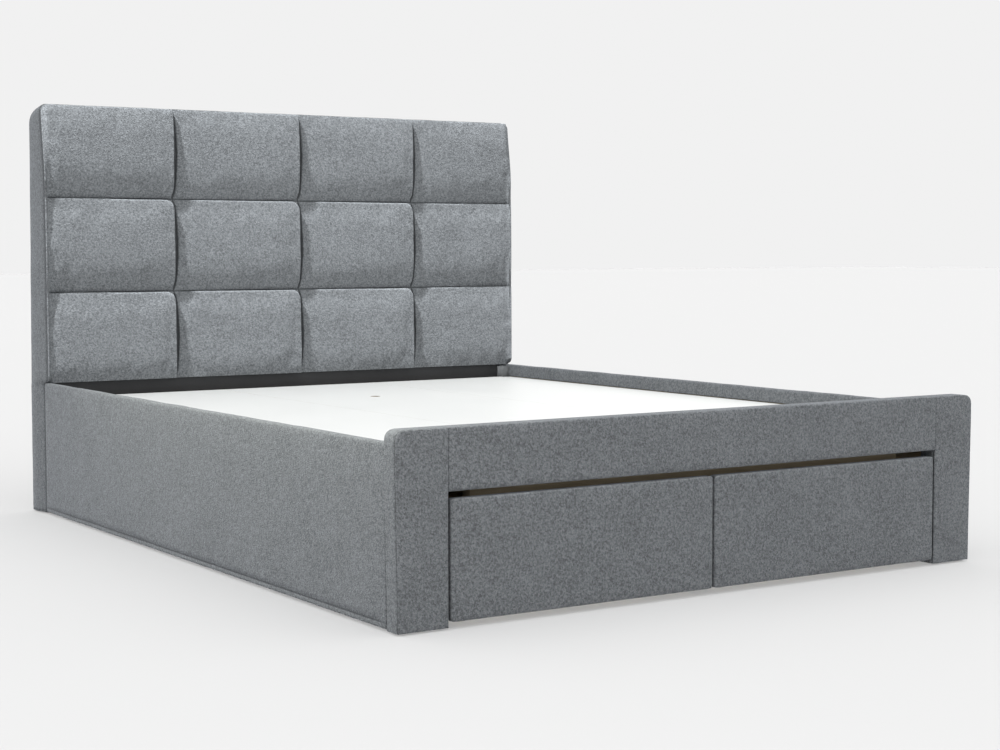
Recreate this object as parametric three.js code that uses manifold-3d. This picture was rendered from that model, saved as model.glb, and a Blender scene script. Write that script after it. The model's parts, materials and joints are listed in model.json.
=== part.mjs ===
// Upholstered platform bed with two rolling drawers in its foot end.
// Millimetres. X runs across the bed, +Y points to the head, +Z is up.
// The origin is the centre of the bed's footprint, on the floor.
import * as THREE from 'three';
import * as BufferGeometryUtils from 'three/addons/utils/BufferGeometryUtils.js';
import Module from 'manifold-3d';

const wasm = await Module();
wasm.setup();

// ---------------------------------------------------------------- driving dimensions

const WIDTH = 1640; // over the side rails
const LENGTH = 2202; // footboard front to headboard back
const HALF_WIDTH = WIDTH / 2;
const FOOT_Y = -LENGTH / 2;
const HEAD_Y = LENGTH / 2;
const FIT = 0.3; // clearance between two fixed pieces that touch

const GLIDE_HEIGHT = 4;
const GLIDE_RADIUS = 11;

const HEADBOARD = { height: 1210, depth: 105, inset: 3, cornerRadius: 45 };
const BORDER_THICK = 8;
const BACK_CLOTH_THICK = 1.7;
const SEAM_RIM = 3; // thickness of the quilted cover at its seams
const BOARD_THICK = 9;
const QUILT = { columns: 4, rows: 3, bottom: 390.5, crown: 21, cellSteps: [8, 6] };
const POST_SIZE = 60;

const RAIL = { top: 390, bottom: 6, skin: 3, board: 16, innerHem: 356 };
const LEDGER = { thick: 30, height: 60 };
const HEAD_LEDGER_THICK = 60;
const BRACKET = { leg: 20, reach: 43, thick: 3, bottom: 100, top: 384 };

const FOOTBOARD = { height: 418, depth: 52, postWidth: 120, padding: 8, cornerRadius: 22 };
const SLOT_TOP = 286; // underside of the footboard's top rail
const FOOT_LEDGER = { halfLength: 617, bottom: 252.7 };

const DECK = { top: 349, thick: 16, edgeGap: 2, headGap: 28 }; // headGap clears the quilting
const FINGER_HOLE = { radius: 15, y: 462 };
const BEAM_WIDTH = 40;
const BEAM_LEG_Y = 120;

const DRAWER = {
  gap: 6, // around each front
  frontTop: 271,
  frontBottom: 20,
  skin: 6,
  frontBoard: 18,
  boxInset: 32, // front's end to the box's side, room for a wheel
  wall: 15,
  wallBottom: 10,
  wallTop: 225,
  length: 600,
  floorZ: 32,
  floorThick: 9,
};
const WHEEL = { radius: 22, width: 18, sideGap: 2, hubRadius: 10, web: 8 };
const AXLE = { radius: 5, capRadius: 9, cap: 3.5, bore: 5.3, ends: [56, 536] };

// ---------------------------------------------------------------- derived planes

const HEADBOARD_FRONT = HEAD_Y - HEADBOARD.depth;
const HEADBOARD_HALF = HALF_WIDTH - HEADBOARD.inset;
const BOARD_FRONT = HEADBOARD_FRONT + SEAM_RIM;
const FRAME_FRONT = BOARD_FRONT + BOARD_THICK + FIT;
const BORDER_BACK = HEAD_Y - BACK_CLOTH_THICK - FIT;
const FRAME_BACK = BORDER_BACK - FIT;
const FRAME_HALF = HEADBOARD_HALF - BORDER_THICK - FIT;
const FRAME_TOP = HEADBOARD.height - BORDER_THICK - FIT;
const INNER_CORNER = HEADBOARD.cornerRadius - BORDER_THICK;

const FOOTBOARD_BACK = FOOT_Y + FOOTBOARD.depth;
const POST_INNER = HALF_WIDTH - FOOTBOARD.postWidth;
const RAIL_INNER = HALF_WIDTH - 2 * RAIL.skin - RAIL.board;
const RAIL_BOARD_INNER = HALF_WIDTH - RAIL.skin - RAIL.board;
const DECK_UNDERSIDE = DECK.top - DECK.thick;
const LEDGER_TOP = DECK_UNDERSIDE - FIT;
const LEDGER_BOTTOM = LEDGER_TOP - LEDGER.height;
const DECK_HALF = RAIL_INNER - DECK.edgeGap;
const DECK_JOINT = DECK_HALF / 3;
const DECK_SPAN = [FOOTBOARD_BACK + FIT, HEADBOARD_FRONT - DECK.headGap];

const FRONT_WIDTH = POST_INNER - 1.5 * DRAWER.gap;
const BOX_HALF = FRONT_WIDTH / 2 - DRAWER.boxInset;
const FRONT_BACK = FOOT_Y + DRAWER.skin + DRAWER.frontBoard;
const BOX_FRONT = FRONT_BACK + FIT;
const BOX_BACK = BOX_FRONT + DRAWER.length;

// ---------------------------------------------------------------- materials

function material(colour, roughness, metalness = 0) {
  return new THREE.MeshStandardMaterial({ color: colour, roughness, metalness });
}

const FABRIC = material(0x74777a, 0.95);
const TIMBER = material(0xb79a6b, 0.7);
const PLYWOOD = material(0xa58b5e, 0.65);
const LAMINATE = material(0xeef0ee, 0.18);
const CHARCOAL_CLOTH = material(0x38393b, 0.9);
const STEEL = material(0x9ea1a3, 0.4, 0.9);
const WHITE_PLASTIC = material(0xe8e8e6, 0.45);
const GREY_PLASTIC = material(0x4a4c4f, 0.5);

// ---------------------------------------------------------------- helpers

const bed = new THREE.Group();
bed.name = 'platform_bed';

function add(name, geometry, surface, parent = bed) {
  const mesh = new THREE.Mesh(geometry, surface.clone());
  mesh.name = name;
  parent.add(mesh);
  return mesh;
}

// A box between two values on each axis.
function block([x0, x1], [y0, y1], [z0, z1]) {
  const geometry = new THREE.BoxGeometry(Math.abs(x1 - x0), y1 - y0, z1 - z0);
  return geometry.translate((x0 + x1) / 2, (y0 + y1) / 2, (z0 + z1) / 2);
}

// The same stretch of X on the left (side -1) or the right (side 1).
function mirrored(side, near, far) {
  return side < 0 ? [-far, -near] : [near, far];
}

// A shape drawn in X and Z, extruded between two values of Y.
function extrudeAlongY(shape, y0, y1) {
  const geometry = new THREE.ExtrudeGeometry(shape, {
    depth: y1 - y0,
    bevelEnabled: false,
    curveSegments: 8,
  });
  return geometry.rotateX(Math.PI / 2).translate(0, y1, 0);
}

// A shape drawn in X and Y, extruded between two values of Z.
function extrudeAlongZ(shape, z0, z1) {
  const geometry = new THREE.ExtrudeGeometry(shape, {
    depth: z1 - z0,
    bevelEnabled: false,
    curveSegments: 12,
  });
  return geometry.translate(0, 0, z0);
}

function polygon(points) {
  return new THREE.Shape(points.map(([x, y]) => new THREE.Vector2(x, y)));
}

// Profile points (radius, place along the axle), spun about an axle that lies along X.
function spinAboutX(profile, segments) {
  const points = profile.map(([radius, along]) => new THREE.Vector2(radius, along));
  return new THREE.LatheGeometry(points, segments).rotateZ(-Math.PI / 2);
}

function toManifold(geometry) {
  const bare = new THREE.BufferGeometry();
  const flat = geometry.index ? geometry.toNonIndexed() : geometry;
  bare.setAttribute('position', flat.getAttribute('position'));
  const merged = BufferGeometryUtils.mergeVertices(bare, 1e-3);
  return new wasm.Manifold(new wasm.Mesh({
    numProp: 3,
    vertProperties: merged.getAttribute('position').array,
    triVerts: new Uint32Array(merged.index.array),
  }));
}

function toGeometry(solid) {
  const mesh = solid.getMesh();
  const geometry = new THREE.BufferGeometry();
  geometry.setAttribute('position', new THREE.BufferAttribute(mesh.vertProperties, 3));
  geometry.setIndex(new THREE.BufferAttribute(mesh.triVerts, 1));
  geometry.computeVertexNormals();
  return geometry;
}

function cut(geometry, ...tools) {
  let solid = toManifold(geometry);
  for (const tool of tools) {
    solid = solid.subtract(toManifold(tool));
  }
  return toGeometry(solid);
}

// ---------------------------------------------------------------- headboard

// A half-width by height outline whose two top corners are rounded.
function archOutline(half, bottom, top, radius) {
  const shape = new THREE.Shape();
  shape.moveTo(-half, bottom);
  shape.lineTo(half, bottom);
  shape.lineTo(half, top - radius);
  shape.absarc(half - radius, top - radius, radius, 0, Math.PI / 2);
  shape.lineTo(-half + radius, top);
  shape.absarc(-half + radius, top - radius, radius, Math.PI / 2, Math.PI);
  return shape;
}

// The cloth band over the headboard's sides and top, one strip bent into an arch.
function headboardBorder() {
  const outer = archOutline(
    HEADBOARD_HALF, GLIDE_HEIGHT, HEADBOARD.height, HEADBOARD.cornerRadius);
  const inner = archOutline(
    HEADBOARD_HALF - BORDER_THICK, -GLIDE_HEIGHT, HEADBOARD.height - BORDER_THICK, INNER_CORNER);
  const y0 = BOARD_FRONT;
  return cut(
    extrudeAlongY(outer, y0, BORDER_BACK),
    extrudeAlongY(inner, y0 - 1, BORDER_BACK + 1));
}

// How far one padded square stands proud of its seams, with u and v from 0 to 1 across it.
function padHeight(u, v) {
  const swell = Math.sin(Math.PI * u) * Math.sin(Math.PI * v);
  return QUILT.crown * Math.max(swell, 0) ** 0.4;
}

// The quilted cover: a flat back, and a front of padded squares between sewn seams.
function quiltedFront() {
  const [stepsX, stepsZ] = QUILT.cellSteps;
  const nx = QUILT.columns * stepsX;
  const nz = QUILT.rows * stepsZ;
  const half = HEADBOARD_HALF - 1;
  const top = HEADBOARD.height - 1;
  const back = BOARD_FRONT - FIT;
  const positions = [];
  const triangles = [];
  for (let j = 0; j <= nz; j += 1) {
    for (let i = 0; i <= nx; i += 1) {
      const u = (i % stepsX) / stepsX;
      const v = (j % stepsZ) / stepsZ;
      const x = -half + (2 * half * i) / nx;
      const z = QUILT.bottom + ((top - QUILT.bottom) * j) / nz;
      positions.push(x, HEADBOARD_FRONT - padHeight(u, v), z);
    }
  }
  const at = (i, j) => j * (nx + 1) + i;
  for (let j = 0; j < nz; j += 1) {
    for (let i = 0; i < nx; i += 1) {
      triangles.push(at(i, j), at(i + 1, j), at(i + 1, j + 1));
      triangles.push(at(i, j), at(i + 1, j + 1), at(i, j + 1));
    }
  }
  const rim = [];
  for (let i = 0; i < nx; i += 1) rim.push(at(i, 0));
  for (let j = 0; j < nz; j += 1) rim.push(at(nx, j));
  for (let i = nx; i > 0; i -= 1) rim.push(at(i, nz));
  for (let j = nz; j > 0; j -= 1) rim.push(at(0, j));
  const firstBack = positions.length / 3;
  for (const index of rim) {
    positions.push(positions[3 * index], back, positions[3 * index + 2]);
  }
  const centre = positions.length / 3;
  positions.push(0, back, (QUILT.bottom + top) / 2);
  for (let k = 0; k < rim.length; k += 1) {
    const next = (k + 1) % rim.length;
    triangles.push(rim[k], firstBack + next, rim[next]);
    triangles.push(rim[k], firstBack + k, firstBack + next);
    triangles.push(centre, firstBack + next, firstBack + k);
  }
  const geometry = new THREE.BufferGeometry();
  geometry.setAttribute('position', new THREE.Float32BufferAttribute(positions, 3));
  geometry.setIndex(triangles);
  geometry.computeVertexNormals();
  return geometry;
}

function addHeadboard() {
  const frameDepth = [FRAME_FRONT, FRAME_BACK];
  const topRailBottom = FRAME_TOP - POST_SIZE;
  const postInner = FRAME_HALF - POST_SIZE;
  for (const [side, word] of [[-1, 'left'], [1, 'right']]) {
    const post = block(
      mirrored(side, postInner, FRAME_HALF), frameDepth, [GLIDE_HEIGHT, topRailBottom - FIT]);
    add(`headboard_post_${word}`, post, TIMBER);
    const glide = new THREE.CylinderGeometry(GLIDE_RADIUS, GLIDE_RADIUS, GLIDE_HEIGHT - FIT, 24);
    glide.rotateX(Math.PI / 2);
    const foot = add(`headboard_glide_${word}`, glide, WHITE_PLASTIC);
    foot.position.set(
      side * (postInner + POST_SIZE / 2), (FRAME_FRONT + FRAME_BACK) / 2, (GLIDE_HEIGHT - FIT) / 2);
  }
  const topRailHalf = FRAME_HALF - INNER_CORNER;
  add('headboard_top_rail',
    block([-topRailHalf, topRailHalf], frameDepth, [topRailBottom, FRAME_TOP]), TIMBER);
  add('headboard_bottom_rail',
    block([-postInner + FIT, postInner - FIT], frameDepth,
      [LEDGER_BOTTOM, LEDGER_BOTTOM + 2 * POST_SIZE]), TIMBER);
  const board = archOutline(FRAME_HALF, 2 * GLIDE_HEIGHT, FRAME_TOP, INNER_CORNER);
  add('headboard_board', extrudeAlongY(board, BOARD_FRONT, BOARD_FRONT + BOARD_THICK), PLYWOOD);
  add('headboard_quilted_front', quiltedFront(), FABRIC);
  add('headboard_border', headboardBorder(), FABRIC);
  add('headboard_lower_cloth',
    block([-FRAME_HALF, FRAME_HALF], [HEADBOARD_FRONT, BOARD_FRONT - FIT],
      [2 * GLIDE_HEIGHT, QUILT.bottom - FIT]), CHARCOAL_CLOTH);
  add('headboard_back_cloth',
    block([-HEADBOARD_HALF + 12, HEADBOARD_HALF - 12], [HEAD_Y - BACK_CLOTH_THICK, HEAD_Y],
      [20, HEADBOARD.height - 20]), CHARCOAL_CLOTH);
}

// ---------------------------------------------------------------- side rails

// The rail's cloth in section: up the outside, over the top, and down to a hem inside.
function railCoverSection() {
  const outer = HALF_WIDTH;
  const inner = RAIL_INNER;
  const roll = 2 * RAIL.skin;
  const shape = new THREE.Shape();
  shape.moveTo(outer, RAIL.bottom);
  shape.lineTo(outer, RAIL.top - roll);
  shape.absarc(outer - roll, RAIL.top - roll, roll, 0, Math.PI / 2);
  shape.lineTo(inner + roll, RAIL.top);
  shape.absarc(inner + roll, RAIL.top - roll, roll, Math.PI / 2, Math.PI);
  shape.lineTo(inner, RAIL.innerHem);
  shape.lineTo(inner + RAIL.skin, RAIL.innerHem);
  shape.lineTo(inner + RAIL.skin, RAIL.top - roll);
  shape.lineTo(outer - RAIL.skin, RAIL.top - roll);
  shape.lineTo(outer - RAIL.skin, RAIL.bottom + RAIL.skin);
  shape.lineTo(RAIL_BOARD_INNER, RAIL.bottom + RAIL.skin);
  shape.lineTo(RAIL_BOARD_INNER, RAIL.bottom);
  return shape;
}

// The corner iron in plan: one leg on the headboard, one along the rail.
function bracketSection() {
  const corner = [RAIL_INNER - FIT, HEADBOARD_FRONT - FIT];
  const [x, y] = corner;
  return polygon([
    [x, y],
    [x - BRACKET.leg - BRACKET.thick, y],
    [x - BRACKET.leg - BRACKET.thick, y - BRACKET.thick],
    [x - BRACKET.thick, y - BRACKET.thick],
    [x - BRACKET.thick, y - BRACKET.reach],
    [x, y - BRACKET.reach],
  ]);
}

// Three.js turns the faces of a mirrored mesh round, so the left side is the right one scaled by -1.
function addPair(name, makeGeometry, surface) {
  for (const [side, word] of [[-1, 'left'], [1, 'right']]) {
    const mesh = add(`${name}_${word}`, makeGeometry(), surface);
    mesh.scale.x = side;
  }
}

function addSideRails() {
  const along = [FOOTBOARD_BACK + FIT, HEADBOARD_FRONT - FIT];
  const boardOuter = HALF_WIDTH - RAIL.skin - FIT;
  const boardTop = RAIL.top - 2 * RAIL.skin - FIT;
  addPair('side_rail_board', () => block(
    [RAIL_BOARD_INNER + FIT, boardOuter], along,
    [RAIL.bottom + RAIL.skin + FIT, boardTop]), PLYWOOD);
  addPair('side_rail_cover', () => extrudeAlongY(railCoverSection(), ...along), FABRIC);
  const ledgerEnd = HEADBOARD_FRONT - BRACKET.reach - 10;
  addPair('side_ledger', () => block(
    [RAIL_BOARD_INNER - LEDGER.thick, RAIL_BOARD_INNER], [along[0], ledgerEnd],
    [LEDGER_BOTTOM, LEDGER_TOP]), TIMBER);
  addPair('corner_bracket',
    () => extrudeAlongZ(bracketSection(), BRACKET.bottom, BRACKET.top), STEEL);
}

// ---------------------------------------------------------------- footboard

// A foot post's padded cover, with its outer top corner rounded.
function footPostOutline() {
  const radius = FOOTBOARD.cornerRadius;
  const shape = new THREE.Shape();
  shape.moveTo(POST_INNER, GLIDE_HEIGHT);
  shape.lineTo(HALF_WIDTH, GLIDE_HEIGHT);
  shape.lineTo(HALF_WIDTH, FOOTBOARD.height - radius);
  shape.absarc(HALF_WIDTH - radius, FOOTBOARD.height - radius, radius, 0, Math.PI / 2);
  shape.lineTo(POST_INNER, FOOTBOARD.height);
  return shape;
}

function addFootboard() {
  const pad = FOOTBOARD.padding;
  const coreY = [FOOT_Y + pad + FIT, FOOTBOARD_BACK - pad - FIT];
  const coreTop = FOOTBOARD.height - pad - FIT;
  const postCore = [POST_INNER + pad + FIT, HALF_WIDTH - pad - FIT];
  const railCoreHalf = postCore[0] - FIT;
  const railCoreZ = [SLOT_TOP + pad + FIT, coreTop];
  // The pocket that a core of the given spans needs inside the padding.
  const pocket = (x, z) => block(
    [x[0] - FIT, x[1] + FIT], [coreY[0] - FIT, coreY[1] + FIT], [z[0] - FIT, z[1] + FIT]);
  const postPocket = pocket(postCore, [0, coreTop]);
  const railPocket = pocket([-railCoreHalf, railCoreHalf], railCoreZ);
  addPair('footboard_post_core', () => block(postCore, coreY, [GLIDE_HEIGHT, coreTop]), TIMBER);
  addPair('footboard_post_cover', () => cut(
    extrudeAlongY(footPostOutline(), FOOT_Y, FOOTBOARD_BACK), postPocket, railPocket), FABRIC);
  add('footboard_rail_core', block([-railCoreHalf, railCoreHalf], coreY, railCoreZ), TIMBER);
  const coverHalf = POST_INNER - FIT;
  add('footboard_rail_cover', cut(
    block([-coverHalf, coverHalf], [FOOT_Y, FOOTBOARD_BACK], [SLOT_TOP, FOOTBOARD.height]),
    railPocket), FABRIC);
  add('footboard_ledger', block(
    [-FOOT_LEDGER.halfLength, FOOT_LEDGER.halfLength],
    [FOOTBOARD_BACK + FIT, FOOTBOARD_BACK + LEDGER.thick],
    [FOOT_LEDGER.bottom, LEDGER_TOP]), PLYWOOD);
  for (const [side, word] of [[-1, 'left'], [1, 'right']]) {
    const glide = new THREE.CylinderGeometry(GLIDE_RADIUS, GLIDE_RADIUS, GLIDE_HEIGHT - FIT, 24);
    glide.rotateX(Math.PI / 2);
    const foot = add(`footboard_glide_${word}`, glide, WHITE_PLASTIC);
    foot.position.set(
      side * (HALF_WIDTH - FOOTBOARD.postWidth / 2), (coreY[0] + coreY[1]) / 2,
      (GLIDE_HEIGHT - FIT) / 2);
  }
}

// ---------------------------------------------------------------- deck

// An outer deck board, notched at its head corner for the corner bracket.
function outerPanelOutline() {
  const [y0, y1] = DECK_SPAN;
  const notchX = RAIL_INNER - BRACKET.leg - BRACKET.thick - 5;
  const notchY = HEADBOARD_FRONT - BRACKET.reach - 5;
  return polygon([
    [DECK_JOINT + FIT, y0],
    [DECK_HALF, y0],
    [DECK_HALF, notchY],
    [notchX, notchY],
    [notchX, y1],
    [DECK_JOINT + FIT, y1],
  ]);
}

function centrePanel() {
  const [y0, y1] = DECK_SPAN;
  const shape = polygon([
    [-DECK_JOINT + FIT, y0], [DECK_JOINT - FIT, y0], [DECK_JOINT - FIT, y1], [-DECK_JOINT + FIT, y1]]);
  const hole = new THREE.Path();
  hole.absarc(0, FINGER_HOLE.y, FINGER_HOLE.radius, 0, 2 * Math.PI, true);
  shape.holes.push(hole);
  return extrudeAlongZ(shape, DECK_UNDERSIDE, DECK.top);
}

function addDeck() {
  addPair('deck_panel', () => extrudeAlongZ(
    outerPanelOutline(), DECK_UNDERSIDE, DECK.top), LAMINATE);
  add('deck_panel_centre', centrePanel(), LAMINATE);
  const headLedgerFront = HEADBOARD_FRONT - HEAD_LEDGER_THICK;
  const ledgerHalf = RAIL_BOARD_INNER - LEDGER.thick - 30;
  add('head_ledger', block(
    [-ledgerHalf, ledgerHalf], [headLedgerFront, HEADBOARD_FRONT - FIT],
    [LEDGER_BOTTOM, LEDGER_TOP]), TIMBER);
  const beamX = [DECK_JOINT - BEAM_WIDTH / 2, DECK_JOINT + BEAM_WIDTH / 2];
  addPair('deck_beam', () => block(
    beamX, [FOOTBOARD_BACK + LEDGER.thick + FIT, headLedgerFront - FIT],
    [LEDGER_BOTTOM, LEDGER_TOP]), TIMBER);
  addPair('deck_beam_leg', () => block(
    beamX, [BEAM_LEG_Y - BEAM_WIDTH / 2, BEAM_LEG_Y + BEAM_WIDTH / 2],
    [0, LEDGER_BOTTOM - FIT]), TIMBER);
}

// ---------------------------------------------------------------- drawers

// A drawer's padded front: a tray of cloth over foam, open behind for the board.
function drawerFrontCover() {
  const half = FRONT_WIDTH / 2;
  const { skin, frontTop, frontBottom } = DRAWER;
  return cut(
    block([-half, half], [FOOT_Y, FRONT_BACK], [frontBottom, frontTop]),
    block([-half + skin, half - skin], [FOOT_Y + skin, FRONT_BACK + 1],
      [frontBottom + skin, frontTop - skin]));
}

// A plain rod with a cap at each end, through both sides of the drawer.
function axleGeometry() {
  const half = BOX_HALF + 2 * WHEEL.sideGap + WHEEL.width + AXLE.cap;
  const shaft = half - AXLE.cap;
  return spinAboutX([
    [0, -half], [AXLE.capRadius, -half], [AXLE.capRadius, -shaft], [AXLE.radius, -shaft],
    [AXLE.radius, shaft], [AXLE.capRadius, shaft], [AXLE.capRadius, half], [0, half]], 24);
}

// A moulded wheel: a wide rim, a thin web and a hub bored for the axle.
function wheelGeometry() {
  const half = WHEEL.width / 2;
  const web = WHEEL.web / 2;
  const rim = WHEEL.radius - 5;
  return spinAboutX([
    [AXLE.bore, -half], [WHEEL.hubRadius, -half], [WHEEL.hubRadius, -web], [rim, -web],
    [rim, -half], [WHEEL.radius - 1.5, -half], [WHEEL.radius, -half + 1.5],
    [WHEEL.radius, half - 1.5], [WHEEL.radius - 1.5, half], [rim, half],
    [rim, web], [WHEEL.hubRadius, web], [WHEEL.hubRadius, half], [AXLE.bore, half],
    [AXLE.bore, -half]], 24);
}

function addDrawer(side, word) {
  const drawer = new THREE.Group();
  drawer.position.x = side * (DRAWER.gap / 2 + FRONT_WIDTH / 2);
  bed.add(drawer);
  const put = (name, geometry, surface) => add(`drawer_${word}_${name}`, geometry, surface, drawer);

  const boardHalf = FRONT_WIDTH / 2 - DRAWER.skin - FIT;
  put('front_cover', drawerFrontCover(), FABRIC);
  put('front_board', block(
    [-boardHalf, boardHalf], [FOOT_Y + DRAWER.skin + FIT, FRONT_BACK],
    [DRAWER.frontBottom + DRAWER.skin + FIT, DRAWER.frontTop - DRAWER.skin - FIT]), PLYWOOD);

  const bores = AXLE.ends.map((along) => {
    const bore = new THREE.CylinderGeometry(AXLE.bore, AXLE.bore, WIDTH, 24);
    return bore.rotateZ(Math.PI / 2).translate(0, BOX_FRONT + along, WHEEL.radius);
  });
  for (const [wall, name] of [[-1, 'side_left'], [1, 'side_right']]) {
    put(name, cut(block(
      mirrored(wall, BOX_HALF - DRAWER.wall, BOX_HALF), [BOX_FRONT, BOX_BACK],
      [DRAWER.wallBottom, DRAWER.wallTop]), ...bores), PLYWOOD);
  }
  const insideHalf = BOX_HALF - DRAWER.wall - FIT;
  const floorTop = DRAWER.floorZ + DRAWER.floorThick;
  put('bottom', block([-insideHalf, insideHalf], [BOX_FRONT, BOX_BACK], [DRAWER.floorZ, floorTop]),
    PLYWOOD);
  put('back', block([-insideHalf, insideHalf], [BOX_BACK - DRAWER.wall, BOX_BACK],
    [floorTop + FIT, DRAWER.wallTop]), PLYWOOD);

  AXLE.ends.forEach((along, index) => {
    const end = ['front', 'rear'][index];
    const axle = put(`axle_${end}`, axleGeometry(), STEEL);
    axle.position.set(0, BOX_FRONT + along, WHEEL.radius);
    for (const [wall, wallWord] of [[-1, 'left'], [1, 'right']]) {
      const wheel = put(`wheel_${end}_${wallWord}`, wheelGeometry(), GREY_PLASTIC);
      wheel.position.set(
        wall * (BOX_HALF + WHEEL.sideGap + WHEEL.width / 2), BOX_FRONT + along, WHEEL.radius);
    }
  });
}

// ---------------------------------------------------------------- assembly

addHeadboard();
addSideRails();
addFootboard();
addDeck();
addDrawer(-1, 'left');
addDrawer(1, 'right');

export default bed;
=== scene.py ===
"""Platform bed with storage drawers: the visual model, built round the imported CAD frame."""

import json
import math
from bisect import bisect

import bpy
import numpy as np
from mathutils import Matrix, Vector, noise


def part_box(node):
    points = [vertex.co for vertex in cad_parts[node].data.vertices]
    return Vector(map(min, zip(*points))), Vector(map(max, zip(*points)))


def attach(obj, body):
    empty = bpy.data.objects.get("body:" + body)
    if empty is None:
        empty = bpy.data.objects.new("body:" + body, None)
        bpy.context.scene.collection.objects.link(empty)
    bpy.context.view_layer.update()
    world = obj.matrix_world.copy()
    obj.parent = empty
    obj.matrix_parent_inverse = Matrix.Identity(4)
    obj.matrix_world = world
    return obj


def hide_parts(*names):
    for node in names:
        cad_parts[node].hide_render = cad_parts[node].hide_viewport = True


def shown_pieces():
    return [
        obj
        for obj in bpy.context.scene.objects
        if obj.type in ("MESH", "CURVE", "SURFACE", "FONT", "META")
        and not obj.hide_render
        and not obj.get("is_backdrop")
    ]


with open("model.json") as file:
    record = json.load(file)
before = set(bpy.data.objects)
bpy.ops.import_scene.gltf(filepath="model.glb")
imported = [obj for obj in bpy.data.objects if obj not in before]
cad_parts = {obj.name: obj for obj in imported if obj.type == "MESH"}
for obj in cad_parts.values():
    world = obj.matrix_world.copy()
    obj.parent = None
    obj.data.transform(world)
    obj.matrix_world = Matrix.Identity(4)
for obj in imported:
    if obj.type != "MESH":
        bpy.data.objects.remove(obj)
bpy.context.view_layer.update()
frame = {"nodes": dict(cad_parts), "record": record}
BODY_OF = {n: b for b, ns in frame["record"]["behaviour"]["bodies"].items() for n in ns}
scene = bpy.context.scene
scene.view_settings.view_transform = "Standard"

# ---------------------------------------------------------------- camera

CAMERA_PLACE = Vector((-2.640, -4.282, 0.776))
CAMERA_YAW, CAMERA_PITCH, CAMERA_ROLL = 32.993, 3.853, -0.132  # degrees
CAMERA_LENS, SENSOR = 66.1, 36.0


def make_camera():
    """The camera, standing where its yaw, pitch and roll show the bed at the chosen angle."""
    yaw, pitch, roll = map(math.radians, (CAMERA_YAW, CAMERA_PITCH, CAMERA_ROLL))
    level = math.cos(pitch)
    forward = Vector((math.sin(yaw) * level, math.cos(yaw) * level, -math.sin(pitch)))
    right = Vector((math.cos(yaw), -math.sin(yaw), 0))
    up = right.cross(forward)
    turned = right * math.cos(roll) + up * math.sin(roll)
    upright = up * math.cos(roll) - right * math.sin(roll)
    data = bpy.data.cameras.new("camera")
    data.lens, data.sensor_width = CAMERA_LENS, SENSOR
    data.clip_start, data.clip_end = 0.05, 200
    camera = bpy.data.objects.new("camera", data)
    turn = Matrix((turned, upright, -forward)).transposed().to_4x4()
    camera.matrix_world = Matrix.Translation(CAMERA_PLACE) @ turn
    scene.collection.objects.link(camera)
    scene.camera = camera


# ---------------------------------------------------------------- materials


class Tree:
    """A Principled material, and short ways to add nodes to it."""

    def __init__(self, name, **sockets):
        self.material = bpy.data.materials.new(name)
        self.material.use_nodes = True
        self.nodes, self.links = self.material.node_tree.nodes, self.material.node_tree.links
        self.shader = self.nodes["Principled BSDF"]
        for socket, value in sockets.items():
            self.shader.inputs[socket.replace("_", " ")].default_value = value
        self.place = self.nodes.new("ShaderNodeTexCoord").outputs["Object"]

    def set(self, node, socket, value):
        """Links a socket's output, or sets a plain value."""
        if isinstance(value, bpy.types.NodeSocket):
            self.links.new(value, node.inputs[socket])
        else:
            node.inputs[socket].default_value = value

    def math(self, operation, a, b=0.0):
        node = self.nodes.new("ShaderNodeMath")
        node.operation = operation
        self.set(node, 0, a)
        self.set(node, 1, b)
        return node.outputs[0]

    def stretched(self, scale):
        node = self.nodes.new("ShaderNodeMapping")
        self.links.new(self.place, node.inputs["Vector"])
        node.inputs["Scale"].default_value = scale
        return node.outputs[0]

    def noise(self, scale, detail=2.0, rough=0.5, at=None, distortion=0.0):
        node = self.nodes.new("ShaderNodeTexNoise")
        self.links.new(at or self.place, node.inputs["Vector"])
        node.inputs["Scale"].default_value = scale
        node.inputs["Detail"].default_value = detail
        node.inputs["Roughness"].default_value = rough
        node.inputs["Distortion"].default_value = distortion
        return node.outputs["Fac"]

    def cells(self, scale, output="Color"):
        node = self.nodes.new("ShaderNodeTexVoronoi")
        self.links.new(self.place, node.inputs["Vector"])
        node.inputs["Scale"].default_value = scale
        return node.outputs[output]

    def grey(self, colour):
        node = self.nodes.new("ShaderNodeSeparateColor")
        self.links.new(colour, node.inputs[0])
        return node.outputs[0]

    def swing(self, value, amount):
        """amount times how far value is from its middle, 0.5."""
        return self.math("MULTIPLY", self.math("SUBTRACT", value, 0.5), amount)

    def total(self, *values):
        result = values[0]
        for value in values[1:]:
            result = self.math("ADD", result, value)
        return result

    def between(self, factor, dark, light):
        """From the dark colour at factor 0 to the light one at 1."""
        node = self.nodes.new("ShaderNodeMix")
        node.data_type, node.clamp_factor = "RGBA", True
        self.set(node, 0, factor)
        for socket, value in ((6, dark), (7, light)):
            self.set(node, socket, (*value, 1) if isinstance(value, tuple) else value)
        return node.outputs[2]

    def facing_up(self):
        """The surface normal's upward part."""
        node = self.nodes.new("ShaderNodeSeparateXYZ")
        self.links.new(self.nodes.new("ShaderNodeNewGeometry").outputs["Normal"], node.inputs[0])
        return node.outputs["Z"]

    def attribute(self, name):
        node = self.nodes.new("ShaderNodeAttribute")
        node.attribute_name = name
        return node.outputs["Fac"]

    def bump(self, height, strength, distance):
        node = self.nodes.new("ShaderNodeBump")
        node.inputs["Strength"].default_value = strength
        node.inputs["Distance"].default_value = distance
        self.links.new(height, node.inputs["Height"])
        self.links.new(node.outputs[0], self.shader.inputs["Normal"])

    def colour(self, value):
        self.links.new(value, self.shader.inputs["Base Color"])

    def roughness(self, value):
        self.links.new(value, self.shader.inputs["Roughness"])


def scaled(colour, factor):
    return tuple(c * factor for c in colour)


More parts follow.
